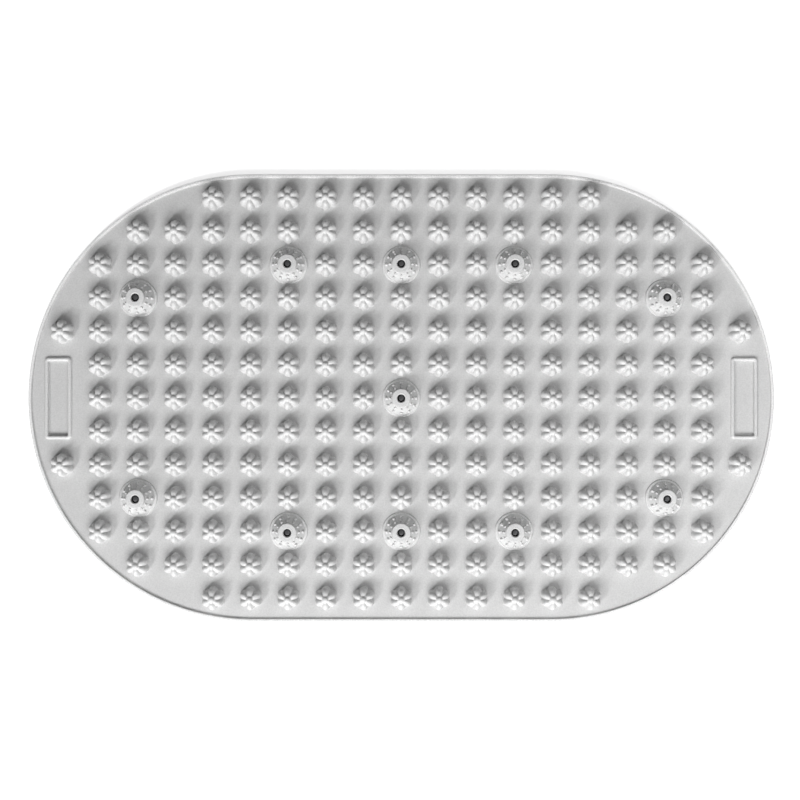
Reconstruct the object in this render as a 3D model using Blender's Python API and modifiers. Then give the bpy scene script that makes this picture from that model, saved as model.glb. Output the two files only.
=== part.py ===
"""Silicone foot massage mat with magnets set in its large studs, at real size.

Units are metres and +Z is up. The origin is on the floor under the middle of the mat, +X
runs along the mat and +Y across it. The mat is one moulding: a sheet with a raised rim, a
grid of small lobed nubs, larger round studs and a bare framed panel near each end. Each
stud has a pocket in its top, and a round magnet is pressed into it past a soft lip.
"""

import math

import bmesh
import bpy
from mathutils import Vector

# Sheet and rim
MAT_LENGTH = 0.500
MAT_WIDTH = 0.300
SHEET_THICKNESS = 0.003
RIM_WIDTH = 0.0027
RIM_RISE = 0.0013
RIM_ROUNDING = 0.0008
END_SEGMENTS = 32

# Grid on which the nubs and studs stand
COLUMN_PITCH = 0.0252
ROW_PITCH = 0.0223
EDGE_MARGIN = 0.010

# Small massage nub
NUB_HEIGHT = 0.010
NUB_LOBES = 6
NUB_TIP_RADIUS = 0.0078
NUB_VALLEY_RADIUS = 0.0062
NUB_SHOULDER_RADIUS = 0.0069
NUB_SHOULDER_HEIGHT = 0.0070

# Magnet, a short rod with a crowned top
MAGNET_RADIUS = 0.0030
MAGNET_THICKNESS = 0.0040
MAGNET_CROWN_WIDTH = 0.0014
MAGNET_CROWN_DROP = 0.0006
MAGNET_EDGE = 0.0003

# Pocket that holds the magnet, and the collar round it
MAGNET_CLEARANCE = 0.0003
LIP_OVERLAP = 0.00045
LIP_THICKNESS = 0.0008
COLLAR_WALL = 0.00285
COLLAR_FLARE = 0.0003
COLLAR_HEIGHT = 0.0018
POCKET_SEGMENTS = 12

# Large stud that carries the collar
STUD_RADIUS = 0.0129
STUD_HEIGHT = 0.010
BRIM_WIDTH = 0.0012
BRIM_HEIGHT = 0.0012
BRIM_DRAFT = 0.0005
STUD_SEGMENTS = 16

# Framed panel near each end
PANEL_WIDTH = 0.0178
PANEL_LENGTH = 0.0547
PANEL_INSET = 0.0200
PANEL_CORNER = 0.0021
PANEL_CORNER_SEGMENTS = 3
PANEL_DEPTH = 0.0006
FRAME_WIDTH = 0.0024
FRAME_RISE = 0.0017

# How far a cutter runs past the face that it cuts
CUT_OVERRUN = 0.002

# Two points of a mesh closer than this are one point
WELD_DISTANCE = 0.00001

# Edges sharper than this stay crisp
CREASE_ANGLE = math.radians(30)

# Name, colour, roughness and metallic value
SILICONE = ("silicone", (0.61, 0.61, 0.61), 0.50, 0.0)
FERRITE = ("ferrite", (0.035, 0.035, 0.038), 0.35, 0.6)


def make_material(name, colour, roughness, metallic):
    material = bpy.data.materials.new(name)
    material.use_nodes = True
    shader = material.node_tree.nodes["Principled BSDF"]
    shader.inputs["Base Color"].default_value = (*colour, 1)
    shader.inputs["Roughness"].default_value = roughness
    shader.inputs["Metallic"].default_value = metallic
    return material


def make_collection(name):
    collection = bpy.data.collections.new(name)
    bpy.context.scene.collection.children.link(collection)
    return collection


def make_object(name, mesh, collection):
    obj = bpy.data.objects.new(name, mesh)
    collection.objects.link(obj)
    return obj


def make_helper(name, mesh, collection):
    """An object that only joins or cuts another one."""
    helper = make_object(name, mesh, collection)
    helper.hide_render = True
    helper.display_type = "WIRE"
    return helper


def apply_shape(obj, name):
    """Replaces an object by the plain mesh that its modifiers or curve settings make."""
    graph = bpy.context.evaluated_depsgraph_get()
    mesh = bpy.data.meshes.new_from_object(obj.evaluated_get(graph))
    mesh.name = name
    bpy.data.objects.remove(obj)
    return mesh


def shade(mesh):
    """Smooth shading that leaves the sharp edges crisp."""
    mesh.shade_smooth()
    mesh.set_sharp_from_angle(angle=CREASE_ANGLE)


def turned_mesh(name, profile, segments, collection):
    """A solid turned about Z. The profile runs down its outer side, from axis to axis."""
    mesh = bpy.data.meshes.new(name + "_profile")
    edges = [(i, i + 1) for i in range(len(profile) - 1)]
    mesh.from_pydata([(radius, 0, height) for radius, height in profile], edges, [])
    obj = make_object(name, mesh, collection)
    screw = obj.modifiers.new("turn", "SCREW")
    screw.steps = segments
    screw.render_steps = segments
    screw.use_merge_vertices = True
    screw.merge_threshold = WELD_DISTANCE
    bpy.context.view_layer.update()
    return apply_shape(obj, name)


def copies_of(mesh, places, name):
    """One mesh that holds a copy of the given mesh at each place."""
    field = bmesh.new()
    for place in places:
        first_new = len(field.verts)
        field.from_mesh(mesh)
        field.verts.ensure_lookup_table()
        bmesh.ops.translate(field, verts=field.verts[first_new:], vec=place)
    made = bpy.data.meshes.new(name)
    field.to_mesh(made)
    field.free()
    return made


def boolean(obj, helper, operation):
    modifier = obj.modifiers.new(helper.name, "BOOLEAN")
    modifier.operation = operation
    modifier.object = helper
    modifier.solver = "EXACT"


def distance_to_edge(x, y):
    """How far a point of the mat is from its edge. The mat's ends are half circles."""
    end_radius = MAT_WIDTH / 2
    beyond_straight = max(abs(x) - (MAT_LENGTH / 2 - end_radius), 0)
    return end_radius - math.hypot(beyond_straight, y)


def panel_centre_x():
    return MAT_LENGTH / 2 - PANEL_INSET


def on_panel(x, y):
    """True where a nub would stand on one of the framed panels."""
    near_x = abs(abs(x) - panel_centre_x()) < PANEL_WIDTH / 2 + NUB_TIP_RADIUS
    near_y = abs(y) < PANEL_LENGTH / 2 + NUB_TIP_RADIUS
    return near_x and near_y


def has_room(column, row):
    x, y = column * COLUMN_PITCH, row * ROW_PITCH
    return distance_to_edge(x, y) > EDGE_MARGIN and not on_panel(x, y)


def last_row():
    return int((MAT_WIDTH / 2 - EDGE_MARGIN) / ROW_PITCH)


def last_column(row):
    """The outermost column with room for a nub in this row."""
    reach = int(MAT_LENGTH / 2 / COLUMN_PITCH)
    return max(column for column in range(reach + 1) if has_room(column, row))


def stud_cells():
    """Grid cells of the studs: the middle, three near each long side and the corners."""
    side_row = last_row() - 2
    corner_row = side_row - 1
    side_spacing = last_column(side_row) // 2 - 1
    corner_column = last_column(corner_row) - 1
    cells = [(0, 0)]
    for side in (-1, 1):
        cells += [(column, side * side_row) for column in (-side_spacing, 0, side_spacing)]
        cells += [(column, side * corner_row) for column in (-corner_column, corner_column)]
    return sorted(cells, key=lambda cell: (-cell[1], cell[0]))


def nub_cells():
    """Every other grid cell with room for a nub."""
    studs = set(stud_cells())
    cells = []
    for row in range(-last_row(), last_row() + 1):
        outermost = last_column(row)
        cells += [(column, row) for column in range(-outermost, outermost + 1)]
    return [cell for cell in cells if cell not in studs]


def places_of(cells, height):
    return [(column * COLUMN_PITCH, row * ROW_PITCH, height) for column, row in cells]


def outline_points():
    """The mat's outline from above, anticlockwise: half circles joined by straight sides."""
    end_radius = MAT_WIDTH / 2
    points = []
    for side in (1, -1):
        centre = Vector((side * (MAT_LENGTH / 2 - end_radius), 0, 0))
        for step in range(END_SEGMENTS + 1):
            angle = math.pi * (step / END_SEGMENTS - 0.5)
            points.append(centre + side * polar(end_radius, angle))
    return points


def polar(radius, angle, height=0):
    return Vector((radius * math.cos(angle), radius * math.sin(angle), height))


def sheet_mesh():
    """The sheet, drawn up from its outline. Insets of its top face make the rim."""
    sheet = bmesh.new()
    base = sheet.faces.new([sheet.verts.new(point) for point in outline_points()])
    drawn = bmesh.ops.extrude_face_region(sheet, geom=[base], use_keep_orig=True)["geom"]
    top_verts = [item for item in drawn if isinstance(item, bmesh.types.BMVert)]
    top = [item for item in drawn if isinstance(item, bmesh.types.BMFace)]
    wall_height = SHEET_THICKNESS + RIM_RISE - RIM_ROUNDING
    bmesh.ops.translate(sheet, verts=top_verts, vec=(0, 0, wall_height))
    bmesh.ops.recalc_face_normals(sheet, faces=sheet.faces)
    crest_width = RIM_WIDTH - 2 * RIM_ROUNDING
    steps = ((RIM_ROUNDING, RIM_ROUNDING), (crest_width, 0), (RIM_ROUNDING, -RIM_RISE))
    for thickness, depth in steps:
        bmesh.ops.inset_region(sheet, faces=top, thickness=thickness, depth=depth)
    mesh = bpy.data.meshes.new("mat_body")
    sheet.to_mesh(mesh)
    sheet.free()
    return mesh


def nub_mesh():
    """A nub that rises from a scalloped foot to a shoulder over each lobe and a low crown.

    It is a loft from a foot with two points a lobe to a shoulder with one point a lobe.
    """
    nub = bmesh.new()
    foot = []
    shoulders = []
    for lobe in range(NUB_LOBES):
        tip_angle = math.pi / 2 + lobe * math.tau / NUB_LOBES
        valley_angle = tip_angle + math.pi / NUB_LOBES
        foot.append(nub.verts.new(polar(NUB_TIP_RADIUS, tip_angle)))
        foot.append(nub.verts.new(polar(NUB_VALLEY_RADIUS, valley_angle)))
        shoulder = polar(NUB_SHOULDER_RADIUS, tip_angle, NUB_SHOULDER_HEIGHT)
        shoulders.append(nub.verts.new(shoulder))
    crown = nub.verts.new((0, 0, NUB_HEIGHT))
    nub.faces.new(reversed(foot))
    for lobe in range(NUB_LOBES):
        tip, valley, next_tip = (foot[(2 * lobe + step) % len(foot)] for step in range(3))
        shoulder = shoulders[lobe]
        next_shoulder = shoulders[(lobe + 1) % NUB_LOBES]
        nub.faces.new((tip, valley, shoulder))
        nub.faces.new((valley, next_shoulder, shoulder))
        nub.faces.new((valley, next_tip, next_shoulder))
        nub.faces.new((shoulder, next_shoulder, crown))
    mesh = bpy.data.meshes.new("nub")
    nub.to_mesh(mesh)
    nub.free()
    return mesh


def pocket_radius():
    return MAGNET_RADIUS + MAGNET_CLEARANCE


def stud_profile():
    """Half section of a stud above the sheet, down its outer side."""
    collar_radius = pocket_radius() + COLLAR_WALL
    return [
        (0, STUD_HEIGHT),
        (collar_radius, STUD_HEIGHT),
        (collar_radius + COLLAR_FLARE, STUD_HEIGHT - COLLAR_HEIGHT),
        (STUD_RADIUS - BRIM_DRAFT - BRIM_WIDTH, BRIM_HEIGHT),
        (STUD_RADIUS - BRIM_DRAFT, BRIM_HEIGHT),
        (STUD_RADIUS, 0),
        (0, 0),
    ]


def pocket_top():
    """Height of the underside of the lip that keeps the magnet in."""
    return SHEET_THICKNESS + STUD_HEIGHT - LIP_THICKNESS


def pocket_profile():
    """Half section of what is cut out of a stud: the mouth in the lip, then the pocket."""
    mouth_radius = MAGNET_RADIUS - LIP_OVERLAP
    cut_top = pocket_top() + LIP_THICKNESS + CUT_OVERRUN
    pocket_bottom = pocket_top() - MAGNET_THICKNESS - 2 * MAGNET_CLEARANCE
    return [
        (0, cut_top),
        (mouth_radius, cut_top),
        (mouth_radius, pocket_top()),
        (pocket_radius(), pocket_top()),
        (pocket_radius(), pocket_bottom),
        (0, pocket_bottom),
    ]


def magnet_profile():
    """Half section of a magnet, down its outer side from the middle of its top."""
    return [
        (0, 0),
        (MAGNET_RADIUS - MAGNET_CROWN_WIDTH, 0),
        (MAGNET_RADIUS, -MAGNET_CROWN_DROP),
        (MAGNET_RADIUS, MAGNET_EDGE - MAGNET_THICKNESS),
        (MAGNET_RADIUS - MAGNET_EDGE, -MAGNET_THICKNESS),
        (0, -MAGNET_THICKNESS),
    ]


def add_rounded_rectangle(curve, width, length, corner):
    """Adds a closed rectangle with round corners, centred on the origin."""
    points = []
    for quarter, (side_x, side_y) in enumerate(((1, 1), (-1, 1), (-1, -1), (1, -1))):
        centre = Vector((side_x * (width / 2 - corner), side_y * (length / 2 - corner), 0))
        for step in range(PANEL_CORNER_SEGMENTS + 1):
            angle = math.pi / 2 * (quarter + step / PANEL_CORNER_SEGMENTS)
            points.append(centre + polar(corner, angle))
    spline = curve.splines.new("POLY")
    spline.points.add(len(points) - 1)
    for point, place in zip(spline.points, points):
        point.co = (*place, 1)
    spline.use_cyclic_u = True


def new_plate_curve(name, low, high):
    """A flat 2D curve object's data, extruded evenly about its plane from low to high."""
    curve = bpy.data.curves.new(name, "CURVE")
    curve.dimensions = "2D"
    curve.fill_mode = "BOTH"
    curve.extrude = (high - low) / 2
    return curve


def plate_mesh(curve, low, high, collection):
    """The closed mesh of a plate curve, lifted so that it runs from low to high."""
    mesh = apply_shape(make_object(curve.name, curve, collection), curve.name)
    plate = bmesh.new()
    plate.from_mesh(mesh)
    bmesh.ops.remove_doubles(plate, verts=plate.verts, dist=WELD_DISTANCE)
    bmesh.ops.recalc_face_normals(plate, faces=plate.faces)
    bmesh.ops.translate(plate, verts=plate.verts, vec=(0, 0, (low + high) / 2))
    plate.to_mesh(mesh)
    plate.free()
    return mesh


def panel_places():
    """Where the two panels stand on the top of the sheet."""
    return [(side * panel_centre_x(), 0, SHEET_THICKNESS) for side in (-1, 1)]


def add_panel_inside(curve):
    inside_width = PANEL_WIDTH - 2 * FRAME_WIDTH
    inside_length = PANEL_LENGTH - 2 * FRAME_WIDTH
    add_rounded_rectangle(curve, inside_width, inside_length, PANEL_CORNER / 2)


def frame_mesh(collection):
    """The raised frame of a panel, a flat ring that stands on the sheet."""
    curve = new_plate_curve("panel_frame", 0, FRAME_RISE)
    add_rounded_rectangle(curve, PANEL_WIDTH, PANEL_LENGTH, PANEL_CORNER)
    add_panel_inside(curve)
    return plate_mesh(curve, 0, FRAME_RISE, collection)


def sinking_mesh(collection):
    """What is cut out of the sheet inside a panel's frame."""
    top = FRAME_RISE + CUT_OVERRUN
    curve = new_plate_curve("panel_sinking", -PANEL_DEPTH, top)
    add_panel_inside(curve)
    return plate_mesh(curve, -PANEL_DEPTH, top, collection)


def make_mat(parts, helpers, material):
    mat = make_object("mat_body", sheet_mesh(), parts)
    mat.data.materials.append(material)

    nubs = copies_of(nub_mesh(), places_of(nub_cells(), SHEET_THICKNESS), "nubs")
    boolean(mat, make_helper("nubs", nubs, helpers), "UNION")

    stud = turned_mesh("stud", stud_profile(), STUD_SEGMENTS, helpers)
    studs = copies_of(stud, places_of(stud_cells(), SHEET_THICKNESS), "studs")
    boolean(mat, make_helper("studs", studs, helpers), "UNION")

    frames = copies_of(frame_mesh(helpers), panel_places(), "panel_frames")
    boolean(mat, make_helper("panel_frames", frames, helpers), "UNION")

    sinkings = copies_of(sinking_mesh(helpers), panel_places(), "panel_sinkings")
    boolean(mat, make_helper("panel_sinkings", sinkings, helpers), "DIFFERENCE")

    pocket = turned_mesh("pocket", pocket_profile(), POCKET_SEGMENTS, helpers)
    pockets = copies_of(pocket, places_of(stud_cells(), 0), "magnet_pockets")
    boolean(mat, make_helper("magnet_pockets", pockets, helpers), "DIFFERENCE")

    bpy.context.view_layer.update()
    moulding = apply_shape(mat, "mat_body")
    shade(moulding)
    make_object("mat_body", moulding, parts)


def make_magnets(parts, material):
    mesh = turned_mesh("magnet", magnet_profile(), POCKET_SEGMENTS, parts)
    mesh.materials.append(material)
    shade(mesh)
    magnet_top = pocket_top() - MAGNET_CLEARANCE
    for number, place in enumerate(places_of(stud_cells(), magnet_top), start=1):
        magnet = make_object(f"magnet_{number:02d}", mesh, parts)
        magnet.location = place


def main():
    for obj in list(bpy.data.objects):
        bpy.data.objects.remove(obj)
    parts = make_collection("foot_massage_mat")
    helpers = make_collection("helpers")
    make_mat(parts, helpers, make_material(*SILICONE))
    make_magnets(parts, make_material(*FERRITE))
    for helper in list(helpers.objects):
        bpy.data.objects.remove(helper)
    bpy.data.collections.remove(helpers)
    bpy.context.view_layer.update()


main()
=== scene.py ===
"""Looks of a silicone foot massage mat: fine meshes, materials, lights and camera.

Units are metres and +Z is up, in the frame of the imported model: +X runs along the mat and
+Y across it, toward the top of the photograph. The moulded sheet, with its rim, nubs and
panels, is one closed mesh. The studs and the magnets in them are placed by the CAD magnets.
"""

import math

import bpy
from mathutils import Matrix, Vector
from mathutils.geometry import delaunay_2d_cdt


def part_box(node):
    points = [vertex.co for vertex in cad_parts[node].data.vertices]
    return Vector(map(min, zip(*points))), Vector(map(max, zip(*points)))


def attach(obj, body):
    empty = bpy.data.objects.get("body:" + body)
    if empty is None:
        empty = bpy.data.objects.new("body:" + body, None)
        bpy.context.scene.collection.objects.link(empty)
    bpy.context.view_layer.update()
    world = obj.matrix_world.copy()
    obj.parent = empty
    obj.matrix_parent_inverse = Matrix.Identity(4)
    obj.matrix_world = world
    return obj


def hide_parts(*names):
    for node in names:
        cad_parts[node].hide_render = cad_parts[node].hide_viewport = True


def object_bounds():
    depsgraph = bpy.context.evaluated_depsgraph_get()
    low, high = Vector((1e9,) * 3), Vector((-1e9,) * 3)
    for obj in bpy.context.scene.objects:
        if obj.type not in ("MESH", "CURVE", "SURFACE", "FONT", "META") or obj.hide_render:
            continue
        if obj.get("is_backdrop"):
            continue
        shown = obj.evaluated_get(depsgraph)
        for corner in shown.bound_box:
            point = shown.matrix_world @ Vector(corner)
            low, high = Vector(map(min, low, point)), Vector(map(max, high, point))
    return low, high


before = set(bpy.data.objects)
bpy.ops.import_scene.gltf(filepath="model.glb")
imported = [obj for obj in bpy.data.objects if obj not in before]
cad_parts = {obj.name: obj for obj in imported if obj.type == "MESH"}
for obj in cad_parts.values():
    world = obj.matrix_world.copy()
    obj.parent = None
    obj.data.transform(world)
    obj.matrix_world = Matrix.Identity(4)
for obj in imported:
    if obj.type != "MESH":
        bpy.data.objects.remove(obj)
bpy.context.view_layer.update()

# Image
IMAGE_PIXELS = 800

# Sheet and rim
SHEET_TOP = 0.0030
RIM_TOP = 0.0043
RIM_OUTER_ROUNDING = 0.0005
RIM_ARC_STEPS = 5
# Inset from the outline and height above the sheet, down the rim's inner side
RIM_INNER_SIDE = (
    (0.00160, 0.00130),
    (0.00182, 0.00127),
    (0.00197, 0.00117),
    (0.00206, 0.00100),
    (0.00212, 0.00070),
    (0.00219, 0.00034),
    (0.00228, 0.00013),
    (0.00240, 0.00003),
    (0.00255, 0.00000),
)
SHEET_EDGE_ROUNDING = 0.0005
SHEET_EDGE_ARC_STEPS = 3
# Steps round each half-round end, and along each straight side
END_SEGMENTS = 96
SIDE_SEGMENTS = 16

# Grid of nubs and studs: rows and columns from the middle to the outermost studs
STUD_ROWS = 4
STUD_COLUMNS = 7
# Least distance from a nub's middle to the mat's edge
EDGE_MARGIN = 0.010

# Small lobed nub
NUB_LOBES = 6
POINTS_PER_LOBE = 6
NUB_HEIGHT = 0.0100
# How far it reaches from its middle, where it has to clear a panel
NUB_REACH = 0.0078
# Radius and height above the sheet, up over a lobe, up in a groove, and up over its bead
NUB_LOBE_PROFILE = (
    (0.00835, 0.00000),
    (0.00798, 0.00018),
    (0.00784, 0.00070),
    (0.00780, 0.00220),
    (0.00770, 0.00390),
    (0.00748, 0.00530),
    (0.00710, 0.00645),
    (0.00650, 0.00738),
    (0.00566, 0.00808),
    (0.00456, 0.00860),
    (0.00330, 0.00892),
)
NUB_GROOVE_PROFILE = (
    (0.00690, 0.00000),
    (0.00650, 0.00018),
    (0.00630, 0.00070),
    (0.00618, 0.00190),
    (0.00600, 0.00330),
    (0.00572, 0.00460),
    (0.00530, 0.00572),
    (0.00474, 0.00662),
    (0.00404, 0.00732),
    (0.00322, 0.00784),
    (0.00240, 0.00812),
)
NUB_BEAD_PROFILE = (
    (0.00206, 0.00845),
    (0.00176, 0.00922),
    (0.00106, 0.00979),
)

# Framed panel near each end
PANEL_WIDTH = 0.0178
PANEL_LENGTH = 0.0547
PANEL_CORNER = 0.0021
PANEL_CORNER_SEGMENTS = 6
PANEL_DEPTH = 0.0006
FRAME_WIDTH = 0.0024
FRAME_RISE = 0.0017
FRAME_FILLET = 0.0003
FRAME_ARC_STEPS = 5
# From the mat's end to the panel's middle
PANEL_INSET = 0.0200

# Stud round a magnet
STUD_SINK = 0.0005
STUD_SEGMENTS = 96
# Radius and height above the sheet, up its outer side and over its lip
STUD_PROFILE = (
    (0.01290, 0.00000),
    (0.01286, 0.00022),
    (0.01248, 0.00094),
    (0.01236, 0.00108),
    (0.01212, 0.00118),
    (0.01150, 0.00118),
    (0.01122, 0.00124),
    (0.01105, 0.00155),
    (0.00690, 0.00745),
    (0.00655, 0.00800),
    (0.00635, 0.00850),
    (0.00624, 0.00920),
    (0.00614, 0.00962),
    (0.00594, 0.00985),
    (0.00565, 0.00992),
    (0.00410, 0.00988),
    (0.00370, 0.00992),
    (0.00342, 0.01000),
    (0.00316, 0.00998),
    (0.00290, 0.00980),
    (0.00268, 0.00950),
    (0.00256, 0.00910),
)
POCKET_RADIUS = 0.0033
POCKET_DEPTH = 0.0054

# Pimples: upright pins with round tops on the cone of a stud
PIMPLES_PER_CIRCLE = 12
PIMPLE_LENGTH = 0.0026
PIMPLE_SEGMENTS = 20
PIMPLE_TOP_RINGS = 6
# Radius of their circle, height above the sheet at which the round tops start, own radius
PIMPLE_CIRCLES = (
    (0.00990, 0.00375, 0.00108),
    (0.00755, 0.00705, 0.00084),
)

# Magnet
MAGNET_SEGMENTS = 48
# Radius and depth below its top, down its outer side
MAGNET_PROFILE = (
    (0.00080, 0.00002),
    (0.00135, 0.00007),
    (0.00162, 0.00020),
    (0.00190, 0.00048),
    (0.00225, 0.00086),
    (0.00262, 0.00118),
    (0.00290, 0.00140),
    (0.00300, 0.00165),
    (0.00300, 0.00370),
    (0.00292, 0.00392),
    (0.00270, 0.00400),
)

# Fine meshes: steepest turn that is still shaded smooth, and how near points are made one
CREASE_ANGLE = math.radians(30)
WELD_DISTANCE = 0.000002
SAME_POINT_DISTANCE = 0.0000001

# Noise: scale and detail of each, and the range that most of its values lie in
CLOUD_NOISE = (45, 3)
GRAIN_NOISE = (1100, 3)
PEEL_NOISE = (260, 2)
GLOSS_NOISE = (420, 3)
FERRITE_NOISE = (3200, 4)
RUBBED_NOISE = (700, 2)
NOISE_RANGE = (0.3, 0.7)

# Bumps: distance and strength of each
GRAIN_BUMP = (0.00004, 0.8)
PEEL_BUMP = (0.00006, 0.5)
FERRITE_BUMP = (0.00002, 0.4)

# Silicone: its own colour on the sheet, painted paler on what stands on it as painted light, and a
# near-white painted highlight on the rim's crest
SILICONE_COLOURS = ((0.600, 0.600, 0.600), (0.622, 0.622, 0.621))
PAINTED_LIGHT_COLOURS = ((0.708, 0.708, 0.708), (0.735, 0.735, 0.734))
PAINTED_CREST_HIGHLIGHT = (0.88, 0.88, 0.88)
SPECKLE_COLOUR = (0.35, 0.35, 0.35)
SPECKLE_STRENGTH = 0.33
SILICONE_ROUGHNESS = (0.32, 0.42)
SILICONE_IOR = 1.50
# Heights above the sheet over which the own colour turns to the paler painted light
PAINTED_LIGHT_RISE = (0.0002, 0.0010)
# Insets from the outline over which the rim turns to its painted highlight
PAINTED_CREST_INSETS = (0.00228, 0.00160)

# Ferrite
FERRITE_COLOURS = ((0.040, 0.040, 0.042), (0.065, 0.065, 0.068))
FERRITE_ROUGHNESS = (0.26, 0.42)
FERRITE_METALLIC = 0.6

# Photograph: pixel at which the middle of the mat shows, and how many metres a pixel spans
MAT_PIXEL = (401.2, 398.2)
PIXEL_SPAN = 0.000671

# Camera: its height above the sheet's top, and its sensor in millimetres
CAMERA_HEIGHT = 0.750
SENSOR_WIDTH = 36.0

# Light: sky, and for each lamp its power, size, distance, elevation and turn toward the left
WHITE = (1, 1, 1, 1)
SKY_LEVEL = 0.04
LAMP_TARGET = (0.04, 0.0, 0.0)
LAMPS = (
    ("front_lamp", 21.4, (1.20, 0.86), 1.60, 40, -3),
    ("left_lamp", 24.5, (0.16, 0.60), 2.20, 33, 38),
    ("right_lamp", 1.8, (0.50, 0.50), 0.90, 56, -82),
)

# Floor, just clear of the mat
FLOOR_DROP = 0.0003
FLOOR_SIZE = 6.0
FLOOR_COLOUR = (0.85, 0.85, 0.85)
FLOOR_ROUGHNESS = 0.9
FLOOR_GLOW = 0.7
# Distances from the mat's middle over which the glow grows from that to one
FLOOR_FADE = (0.5, 1.1)

# Places read from the CAD: the mat's corner, and the middle of each magnet's top
mat_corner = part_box("mat_body")[1]
mat_half_length = mat_corner.x
mat_half_width = mat_corner.y
half_straight = mat_half_length - mat_half_width

magnet_tops = {}
for node in sorted(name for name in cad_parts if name.startswith("magnet")):
    low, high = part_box(node)
    magnet_tops[node] = Vector(((low.x + high.x) / 2, (low.y + high.y) / 2, high.z))
stud_places = [Vector((top.x, top.y, 0)) for top in magnet_tops.values()]
row_pitch = max(place.y for place in stud_places) / STUD_ROWS
column_pitch = max(place.x for place in stud_places) / STUD_COLUMNS


class Shell:
    """Points and faces of one mesh, gathered ring by ring from the outside of a solid."""

    def __init__(self):
        self.points = []
        self.faces = []
        self.creases = set()

    def ring(self, points):
        """Adds a ring of points, and returns their indices."""
        first = len(self.points)
        self.points.extend(points)
        return list(range(first, len(self.points)))

    def bridge(self, ring, next_ring):
        """Faces from a ring to the next one, which has as many points or half as many."""
        count = len(ring)
        if len(next_ring) == count:
            for i in range(count):
                j = (i + 1) % count
                self.faces.append((ring[i], ring[j], next_ring[j], next_ring[i]))
            return
        half = len(next_ring)
        for i in range(half):
            j = (i + 1) % half
            outer = [ring[(2 * i + step) % count] for step in range(3)]
            self.faces.append((outer[0], outer[1], next_ring[i]))
            self.faces.append((outer[1], next_ring[j], next_ring[i]))
            self.faces.append((outer[1], outer[2], next_ring[j]))

    def sweep(self, rings):
        """Bridges a list of rings of points, and returns the first and last of them."""
        first = last = self.ring(rings[0])
        for points in rings[1:]:
            following = self.ring(points)
            self.bridge(last, following)
            last = following
        return first, last

    def close_below(self, ring):
        self.faces.append(tuple(reversed(ring)))

    def close_above(self, ring):
        self.faces.append(tuple(ring))

    def close_to_point(self, ring, point):
        tip = self.ring([point])[0]
        for i, corner in enumerate(ring):
            self.faces.append((corner, ring[(i + 1) % len(ring)], tip))

    def mesh(self, name):
        """The mesh of all that was gathered, shaded smooth but for its creases."""
        made = bpy.data.meshes.new(name)
        made.from_pydata(self.points, [], self.faces)
        made.shade_smooth()
        made.validate()
        for edge in made.edges:
            edge.use_edge_sharp = tuple(sorted(edge.vertices)) in self.creases
        return made


def polar(radius, angle, height=0.0):
    """A point at an angle and a distance from the vertical axis."""
    return Vector((radius * math.cos(angle), radius * math.sin(angle), height))


def quarter_arc(centre, radius, start, steps):
    """Points of a quarter turn, anticlockwise from the given angle in degrees."""
    points = []
    for step in range(steps + 1):
        angle = math.radians(start + 90 * step / steps)
        points.append((centre[0] + radius * math.cos(angle), centre[1] + radius * math.sin(angle)))
    return points


def circle(radius, height, segments):
    return [polar(radius, math.tau * i / segments, height) for i in range(segments)]


def outline_ring(inset, height):
    """The mat's outline, drawn in by the inset: half circles joined by straight sides."""
    end_radius = mat_half_width - inset
    points = []
    for side in (1, -1):
        centre = Vector((side * half_straight, 0, height))
        for step in range(END_SEGMENTS + 1):
            angle = math.pi * (step / END_SEGMENTS - 0.5)
            points.append(centre + side * polar(end_radius, angle))
        for step in range(1, SIDE_SEGMENTS):
            x = side * half_straight * (1 - 2 * step / SIDE_SEGMENTS)
            points.append(Vector((x, side * end_radius, height)))
    return points


def rim_profile():
    """Inset and height from the underside, up the outer wall and over the rim."""
    under_centre = (SHEET_EDGE_ROUNDING, SHEET_EDGE_ROUNDING)
    under = quarter_arc(under_centre, SHEET_EDGE_ROUNDING, 180, SHEET_EDGE_ARC_STEPS)
    outer_centre = (RIM_OUTER_ROUNDING, RIM_TOP - RIM_OUTER_ROUNDING)
    outer = quarter_arc(outer_centre, RIM_OUTER_ROUNDING, 90, RIM_ARC_STEPS)
    inner = [(inset, SHEET_TOP + height) for inset, height in RIM_INNER_SIDE]
    return under[::-1] + outer[::-1] + inner


def rounded_rectangle(width, length, corner, centre_x, height):
    points = []
    for quarter, (side_x, side_y) in enumerate(((1, 1), (-1, 1), (-1, -1), (1, -1))):
        x = centre_x + side_x * (width / 2 - corner)
        centre = Vector((x, side_y * (length / 2 - corner), height))
        for step in range(PANEL_CORNER_SEGMENTS + 1):
            angle = math.pi / 2 * (quarter + step / PANEL_CORNER_SEGMENTS)
            points.append(centre + polar(corner, angle))
    return points


def panel_centre_x():
    return mat_half_length - PANEL_INSET


def panel_profile():
    """Inset and height above the sheet, in over the frame and down to the sunk floor."""
    bead = FRAME_WIDTH / 2
    centre = (bead, FRAME_RISE - bead)
    crown = quarter_arc(centre, bead, 90, FRAME_ARC_STEPS)[::-1]
    crown += quarter_arc(centre, bead, 0, FRAME_ARC_STEPS)[::-1][1:]
    hollow = FRAME_FILLET / 3
    start = [(-FRAME_FILLET, 0), (-hollow, hollow)]
    floor = [
        (FRAME_WIDTH, FRAME_FILLET - PANEL_DEPTH),
        (FRAME_WIDTH + hollow, hollow - PANEL_DEPTH),
        (FRAME_WIDTH + FRAME_FILLET, -PANEL_DEPTH),
    ]
    return start + crown + floor


def panel_rings(side):
    """Rings of points over a panel's frame, from its foot on the sheet inward.

    The corners' radius shrinks on the way, to a half at the frame's inner side.
    """
    rings = []
    for inset, height in panel_profile():
        corner = PANEL_CORNER - inset * PANEL_CORNER / 2 / FRAME_WIDTH
        width = PANEL_WIDTH - 2 * inset
        length = PANEL_LENGTH - 2 * inset
        level = SHEET_TOP + height
        rings.append(rounded_rectangle(width, length, corner, side * panel_centre_x(), level))
    return rings


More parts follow.
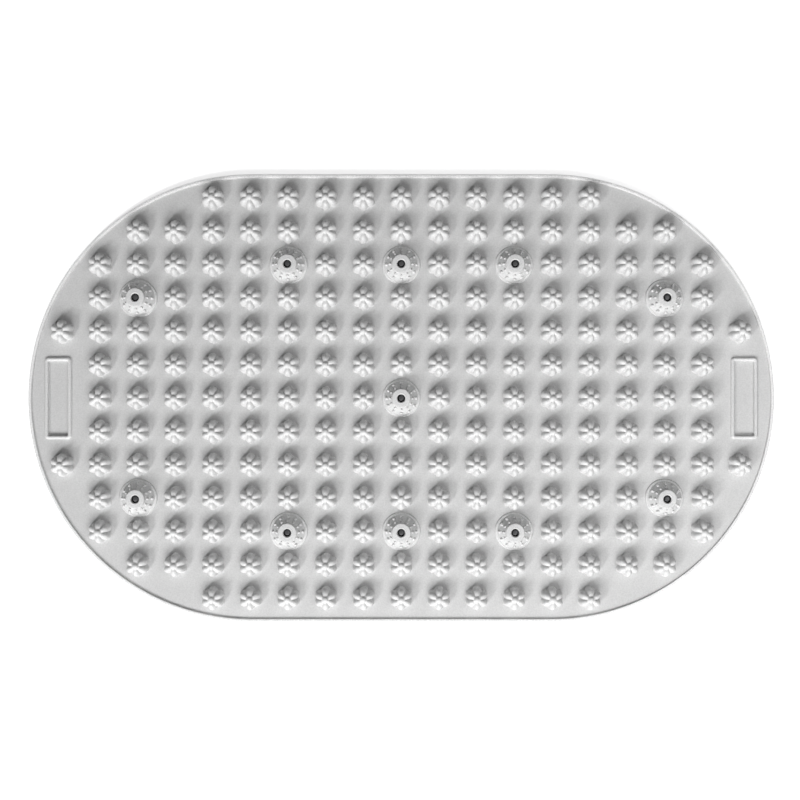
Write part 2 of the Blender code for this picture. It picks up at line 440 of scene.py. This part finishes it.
def distance_to_edge(x, y):
    beyond_straight = max(abs(x) - half_straight, 0)
    return mat_half_width - math.hypot(beyond_straight, y)


def on_panel(x, y):
    near_x = abs(abs(x) - panel_centre_x()) < PANEL_WIDTH / 2 + NUB_REACH
    near_y = abs(y) < PANEL_LENGTH / 2 + NUB_REACH
    return near_x and near_y


def nub_places():
    """Every grid place with room for a nub that holds no stud."""
    columns = int(mat_half_length / column_pitch)
    rows = int(mat_half_width / row_pitch)
    places = []
    for row in range(-rows, rows + 1):
        for column in range(-columns, columns + 1):
            x, y = column * column_pitch, row * row_pitch
            taken = any(math.hypot(x - stud.x, y - stud.y) < row_pitch / 2 for stud in stud_places)
            if distance_to_edge(x, y) > EDGE_MARGIN and not on_panel(x, y) and not taken:
                places.append(Vector((x, y, SHEET_TOP)))
    return places


def nub_ring(lobe_point, groove_point, place, stride=1):
    """One ring of a nub: lobes that are round from above, with a groove between them.

    A longer stride skips points. The first lobe points along +Y.
    """
    count = NUB_LOBES * POINTS_PER_LOBE
    points = []
    for i in range(0, count, stride):
        angle = math.pi / 2 + math.tau * i / count
        swell = abs(math.cos(NUB_LOBES / 2 * (angle - math.pi / 2)))
        radius = groove_point[0] + (lobe_point[0] - groove_point[0]) * swell
        height = groove_point[1] + (lobe_point[1] - groove_point[1]) * swell
        points.append(place + polar(radius, angle, height))
    return points


def add_nub(shell, place):
    """A nub, from its foot up to the bead in its middle. Returns the foot's ring."""
    rings = [
        nub_ring(lobe_point, groove_point, place)
        for lobe_point, groove_point in zip(NUB_LOBE_PROFILE, NUB_GROOVE_PROFILE)
    ]
    rings += [nub_ring(point, point, place, 2) for point in NUB_BEAD_PROFILE]
    foot, last = shell.sweep(rings)
    shell.close_to_point(last, place + Vector((0, 0, NUB_HEIGHT)))
    count = NUB_LOBES * POINTS_PER_LOBE
    for groove in range(POINTS_PER_LOBE // 2, count, POINTS_PER_LOBE):
        for level in range(1, len(NUB_GROOVE_PROFILE) - 1):
            low = foot[groove] + level * count
            shell.creases.add((low, low + count))
    return foot


def is_inside(point, ring):
    """True where a point, seen from above, lies inside a closed ring of points."""
    inside = False
    for start, end in zip(ring, ring[1:] + ring[:1]):
        if (start.y > point.y) != (end.y > point.y):
            share = (point.y - start.y) / (end.y - start.y)
            if point.x < start.x + share * (end.x - start.x):
                inside = not inside
    return inside


def add_flat(shell, outer, holes):
    """The flat top of the sheet: triangles between the rim and the feet of what stands on it.

    A triangle under something has all its corners on that thing's foot, and is left out.
    """
    indices = []
    edges = []
    foot_of = {}
    for ring in (outer, *holes):
        first = len(indices)
        indices.extend(ring)
        edges.extend((first + i, first + (i + 1) % len(ring)) for i in range(len(ring)))
        foot_of.update((index, ring[0]) for index in ring)
    feet = {ring[0]: [shell.points[index] for index in ring] for ring in holes}
    flat_points = [shell.points[index].xy for index in indices]
    inside_edges = 1
    made = delaunay_2d_cdt(flat_points, edges, [], inside_edges, SAME_POINT_DISTANCE)
    triangles, sources = made[2], made[3]
    for triangle in triangles:
        corners = tuple(indices[sources[corner][0]] for corner in triangle)
        touched = {foot_of[corner] for corner in corners}
        foot = feet.get(touched.pop()) if len(touched) == 1 else None
        middle = sum((shell.points[corner] for corner in corners), Vector()) / 3
        if foot is None or not is_inside(middle, foot):
            shell.faces.append(corners)
    return indices


def level_normals(mesh, upper, lower):
    """Points round a flat top or underside are shaded as flat, so no fillet bleeds into it."""
    normal_of = {index: (0, 0, 1) for index in upper}
    normal_of.update((index, (0, 0, -1)) for index in lower)
    as_shaded = (0, 0, 0)
    normals = [normal_of.get(loop.vertex_index, as_shaded) for loop in mesh.loops]
    mesh.normals_split_custom_set(normals)


def moulded_sheet_mesh():
    """The sheet with its rim, nubs and panels, closed."""
    shell = Shell()
    rim_rings = [outline_ring(inset, height) for inset, height in rim_profile()]
    bottom, top = shell.sweep(rim_rings)
    shell.close_below(bottom)
    holes = [add_nub(shell, place) for place in nub_places()]
    upper = []
    for side in (-1, 1):
        foot, floor = shell.sweep(panel_rings(side))
        shell.close_above(floor)
        holes.append(foot)
        upper += floor
    upper += add_flat(shell, top, holes)
    mesh = shell.mesh("moulded_sheet")
    level_normals(mesh, upper, bottom)
    return mesh


def stud_body_mesh():
    """The turned body of a stud, closed: sunk into the sheet, with a pocket in its top."""
    shell = Shell()
    profile = [(STUD_PROFILE[0][0], -STUD_SINK), *STUD_PROFILE]
    lip_height = STUD_PROFILE[-1][1]
    profile += [(POCKET_RADIUS, lip_height), (POCKET_RADIUS, NUB_HEIGHT - POCKET_DEPTH)]
    rings = [circle(radius, SHEET_TOP + height, STUD_SEGMENTS) for radius, height in profile]
    bottom, floor = shell.sweep(rings)
    shell.close_below(bottom)
    shell.close_above(floor)
    return shell.mesh("stud_body")


def pimple_rings(radius, middle):
    """An upright pin: its foot inside the cone, and its round top."""
    rings = [circle(radius, -PIMPLE_LENGTH, PIMPLE_SEGMENTS)]
    for step in range(PIMPLE_TOP_RINGS):
        angle = math.pi / 2 * step / PIMPLE_TOP_RINGS
        rings.append(circle(radius * math.cos(angle), radius * math.sin(angle), PIMPLE_SEGMENTS))
    return [[middle + point for point in ring] for ring in rings]


def pimples_mesh():
    """Two circles of small pins that stand on the cone of a stud."""
    shell = Shell()
    for circle_radius, height, radius in PIMPLE_CIRCLES:
        for number in range(PIMPLES_PER_CIRCLE):
            angle = math.tau * number / PIMPLES_PER_CIRCLE
            middle = polar(circle_radius, angle, SHEET_TOP + height)
            bottom, top = shell.sweep(pimple_rings(radius, middle))
            shell.close_below(bottom)
            shell.close_to_point(top, middle + Vector((0, 0, radius)))
    return shell.mesh("pimples")


def joined_mesh(mesh, other):
    """The union of two closed meshes, smooth with crisp creases."""
    keeper = bpy.data.objects.new(mesh.name, mesh)
    helper = bpy.data.objects.new(other.name, other)
    for obj in (keeper, helper):
        bpy.context.scene.collection.objects.link(obj)
    union = keeper.modifiers.new("union", "BOOLEAN")
    union.operation = "UNION"
    union.object = helper
    weld = keeper.modifiers.new("weld", "WELD")
    weld.merge_threshold = WELD_DISTANCE
    bpy.context.view_layer.update()
    graph = bpy.context.evaluated_depsgraph_get()
    joined = bpy.data.meshes.new_from_object(keeper.evaluated_get(graph))
    for obj in (keeper, helper):
        bpy.data.objects.remove(obj)
    joined.shade_smooth()
    joined.set_sharp_from_angle(angle=CREASE_ANGLE)
    return joined


def magnet_mesh():
    """A rod with a crowned top, closed, whose top is at the origin."""
    shell = Shell()
    rings = [circle(radius, -depth, MAGNET_SEGMENTS) for radius, depth in MAGNET_PROFILE]
    bottom, top = shell.sweep(rings[::-1])
    shell.close_below(bottom)
    shell.close_to_point(top, Vector((0, 0, 0)))
    mesh = shell.mesh("magnet")
    mesh.set_sharp_from_angle(angle=CREASE_ANGLE)
    return mesh


def show_piece(name, mesh, material, node, place=(0, 0, 0)):
    """Puts a piece in the scene, riding on the one body of the mat."""
    piece = bpy.data.objects.new(name, mesh)
    bpy.context.scene.collection.objects.link(piece)
    piece.location = place
    mesh.materials.clear()
    mesh.materials.append(material)
    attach(piece, "root")
    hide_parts(node)


def new_material(name):
    """A material with its nodes, its links and its shader."""
    material = bpy.data.materials.new(name)
    material.use_nodes = True
    nodes = material.node_tree.nodes
    return material, nodes, material.node_tree.links, nodes["Principled BSDF"]


def noise(nodes, links, scale, detail, coordinates):
    texture = nodes.new("ShaderNodeTexNoise")
    texture.inputs["Scale"].default_value = scale
    texture.inputs["Detail"].default_value = detail
    links.new(coordinates, texture.inputs["Vector"])
    return texture.outputs["Fac"]


def mapped(nodes, links, value, source, target=(0, 1), interpolation="LINEAR"):
    """Maps a value from one range onto another, and stops at the other's ends."""
    mapping = nodes.new("ShaderNodeMapRange")
    mapping.interpolation_type = interpolation
    ends = ("From Min", "From Max", "To Min", "To Max")
    for end, number in zip(ends, (*source, *target)):
        mapping.inputs[end].default_value = number
    links.new(value, mapping.inputs["Value"])
    return mapping.outputs["Result"]


def spread(nodes, links, value, low, high):
    """Maps a noise value, which stays near one half, onto the range from low to high."""
    return mapped(nodes, links, value, NOISE_RANGE, (low, high))


def mixed_colour(nodes, links, factor, first, second):
    """Mixes two colours, each given as three numbers or as the output of a node."""
    mix = nodes.new("ShaderNodeMix")
    mix.data_type = "RGBA"
    links.new(factor, mix.inputs["Factor"])
    for colour, name in ((first, "A"), (second, "B")):
        if isinstance(colour, tuple):
            mix.inputs[name].default_value = (*colour, 1)
        else:
            links.new(colour, mix.inputs[name])
    return mix.outputs["Result"]


def bumped(nodes, links, height, distance, strength, below=None):
    """The surface's direction on bumps of a height, which may lie on bumps below them."""
    bump = nodes.new("ShaderNodeBump")
    bump.inputs["Distance"].default_value = distance
    bump.inputs["Strength"].default_value = strength
    links.new(height, bump.inputs["Height"])
    if below is not None:
        links.new(below, bump.inputs["Normal"])
    return bump.outputs["Normal"]


def length_of(nodes, links, vector):
    length = nodes.new("ShaderNodeVectorMath")
    length.operation = "LENGTH"
    links.new(vector, length.inputs[0])
    return length.outputs["Value"]


def raised(nodes, links, place):
    """Zero on the sheet, and one on everything that stands well above it, where the paler painted
    light goes.
    """
    parts = nodes.new("ShaderNodeSeparateXYZ")
    links.new(place, parts.inputs["Vector"])
    heights = [SHEET_TOP + rise for rise in PAINTED_LIGHT_RISE]
    return mapped(nodes, links, parts.outputs["Z"], heights, interpolation="SMOOTHSTEP")


def on_rim(nodes, links, place):
    """Zero inside the rim's inner side, and one from its crest to the mat's edge, where the
    highlight is painted.

    It goes by the distance, seen from above, to the line between the half-round ends' middles.
    """
    beyond_any_height = 1
    steps = (
        ("ABSOLUTE", None),
        ("SUBTRACT", (half_straight, 0, beyond_any_height)),
        ("MAXIMUM", (0, 0, 0)),
    )
    for operation, value in steps:
        step = nodes.new("ShaderNodeVectorMath")
        step.operation = operation
        links.new(place, step.inputs[0])
        if value is not None:
            step.inputs[1].default_value = value
        place = step.outputs["Vector"]
    distance = length_of(nodes, links, place)
    limits = [mat_half_width - inset for inset in PAINTED_CREST_INSETS]
    return mapped(nodes, links, distance, limits, interpolation="SMOOTHSTEP")


def silicone_material():
    """Matt grey-white silicone, mottled, with a fine moulded grain; raised parts are painted paler
    and the rim's crest near white, as painted light.
    """
    material, nodes, links, shader = new_material("silicone_satin")
    place = nodes.new("ShaderNodeTexCoord").outputs["Object"]
    clouds = spread(nodes, links, noise(nodes, links, *CLOUD_NOISE, place), 0, 1)
    own_colour = mixed_colour(nodes, links, clouds, *SILICONE_COLOURS)
    # Painted light: what stands on the sheet is painted paler, as if lit more, though it is the
    # same silicone
    painted_light = mixed_colour(nodes, links, clouds, *PAINTED_LIGHT_COLOURS)
    # Painted highlight: the rim's crest is painted near white, as if it caught more light
    painted_crest = mixed_colour(nodes, links, on_rim(nodes, links, place), painted_light, PAINTED_CREST_HIGHLIGHT)
    clean = mixed_colour(nodes, links, raised(nodes, links, place), own_colour, painted_crest)
    grain = noise(nodes, links, *GRAIN_NOISE, place)
    speckle = spread(nodes, links, grain, 0, SPECKLE_STRENGTH)
    colour = mixed_colour(nodes, links, speckle, clean, SPECKLE_COLOUR)
    links.new(colour, shader.inputs["Base Color"])
    gloss = noise(nodes, links, *GLOSS_NOISE, place)
    links.new(spread(nodes, links, gloss, *SILICONE_ROUGHNESS), shader.inputs["Roughness"])
    orange_peel = noise(nodes, links, *PEEL_NOISE, place)
    waves = bumped(nodes, links, orange_peel, *PEEL_BUMP)
    links.new(bumped(nodes, links, grain, *GRAIN_BUMP, waves), shader.inputs["Normal"])
    shader.inputs["IOR"].default_value = SILICONE_IOR
    return material


def ferrite_material():
    """Dark grey sintered ferrite, ground to a soft shine, with a fine speckle."""
    material, nodes, links, shader = new_material("ferrite_dark")
    place = nodes.new("ShaderNodeTexCoord").outputs["Object"]
    grains = noise(nodes, links, *FERRITE_NOISE, place)
    colour = mixed_colour(nodes, links, spread(nodes, links, grains, 0, 1), *FERRITE_COLOURS)
    links.new(colour, shader.inputs["Base Color"])
    rubbed = noise(nodes, links, *RUBBED_NOISE, place)
    links.new(spread(nodes, links, rubbed, *FERRITE_ROUGHNESS), shader.inputs["Roughness"])
    links.new(bumped(nodes, links, grains, *FERRITE_BUMP), shader.inputs["Normal"])
    shader.inputs["Metallic"].default_value = FERRITE_METALLIC
    return material


def seen_directly(nodes, links):
    """One for rays from the camera, also by way of a mirror or through glass, else zero."""
    path = nodes.new("ShaderNodeLightPath")
    total = path.outputs["Is Camera Ray"]
    for name in ("Is Glossy Ray", "Is Transmission Ray"):
        add = nodes.new("ShaderNodeMath")
        add.operation = "MAXIMUM"
        links.new(total, add.inputs[0])
        links.new(path.outputs[name], add.inputs[1])
        total = add.outputs["Value"]
    return total


def white_sky():
    """A plain grey sky that lights the mat softly, and looks white to the camera."""
    world = bpy.data.worlds.new("studio")
    world.use_nodes = True
    nodes, links = world.node_tree.nodes, world.node_tree.links
    level = mapped(nodes, links, seen_directly(nodes, links), (0, 1), (SKY_LEVEL, 1))
    sky = nodes["Background"]
    sky.inputs["Color"].default_value = WHITE
    links.new(level, sky.inputs["Strength"])
    bpy.context.scene.world = world


def floor_material():
    """A matt white that takes the mat's soft shadow, and stays white where the lamps fade."""
    material, nodes, links, shader = new_material("floor_white")
    shader.inputs["Base Color"].default_value = (*FLOOR_COLOUR, 1)
    shader.inputs["Roughness"].default_value = FLOOR_ROUGHNESS
    shader.inputs["Specular IOR Level"].default_value = 0.0
    reach = length_of(nodes, links, nodes.new("ShaderNodeTexCoord").outputs["Object"])
    level = mapped(nodes, links, reach, FLOOR_FADE, (FLOOR_GLOW, 1))
    glow = nodes.new("ShaderNodeMath")
    glow.operation = "MULTIPLY"
    links.new(seen_directly(nodes, links), glow.inputs[0])
    links.new(level, glow.inputs[1])
    shader.inputs["Emission Color"].default_value = WHITE
    links.new(glow.outputs["Value"], shader.inputs["Emission Strength"])
    return material


def white_floor():
    """A square floor under the mat."""
    mesh = bpy.data.meshes.new("floor")
    half = FLOOR_SIZE / 2
    corners = [(-half, -half, 0), (half, -half, 0), (half, half, 0), (-half, half, 0)]
    mesh.from_pydata(corners, [], [(0, 1, 2, 3)])
    mesh.materials.append(floor_material())
    floor = bpy.data.objects.new("floor", mesh)
    floor.location.z = -FLOOR_DROP
    bpy.context.scene.collection.objects.link(floor)
    floor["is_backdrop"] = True


def soft_lamps():
    """Area lamps round the mat, each turned toward the target."""
    for name, power, size, distance, elevation, turn in LAMPS:
        reach = distance * math.cos(math.radians(elevation))
        height = distance * math.sin(math.radians(elevation))
        place = polar(reach, math.radians(-90 - turn), height)
        data = bpy.data.lights.new(name, "AREA")
        data.shape = "RECTANGLE"
        data.size, data.size_y = size
        data.energy = power
        lamp = bpy.data.objects.new(name, data)
        lamp.location = place
        lamp.rotation_euler = (Vector(LAMP_TARGET) - place).to_track_quat("-Z", "Y").to_euler()
        bpy.context.scene.collection.objects.link(lamp)


def camera():
    """Looks straight down, with the middle of the mat at its pixel in the photograph."""
    data = bpy.data.cameras.new("camera")
    data.sensor_width = SENSOR_WIDTH
    data.lens = SENSOR_WIDTH * CAMERA_HEIGHT / (IMAGE_PIXELS * PIXEL_SPAN)
    eye = bpy.data.objects.new("camera", data)
    right = (IMAGE_PIXELS / 2 - MAT_PIXEL[0]) * PIXEL_SPAN
    up = (MAT_PIXEL[1] - IMAGE_PIXELS / 2) * PIXEL_SPAN
    eye.location = (right, up, SHEET_TOP + CAMERA_HEIGHT)
    bpy.context.scene.collection.objects.link(eye)
    bpy.context.scene.camera = eye


silicone = silicone_material()
ferrite = ferrite_material()
show_piece("moulded_sheet", moulded_sheet_mesh(), silicone, "mat_body")
stud_mesh = joined_mesh(stud_body_mesh(), pimples_mesh())
rod_mesh = magnet_mesh()
for number, (node, top) in enumerate(magnet_tops.items(), start=1):
    foot = (top.x, top.y, 0)
    show_piece(f"stud_{number:02d}", stud_mesh, silicone, "mat_body", foot)
    show_piece(f"ferrite_rod_{number:02d}", rod_mesh, ferrite, node, top)

white_sky()
white_floor()
soft_lamps()
camera()
bpy.context.scene.view_settings.view_transform = "Standard"

low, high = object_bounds()
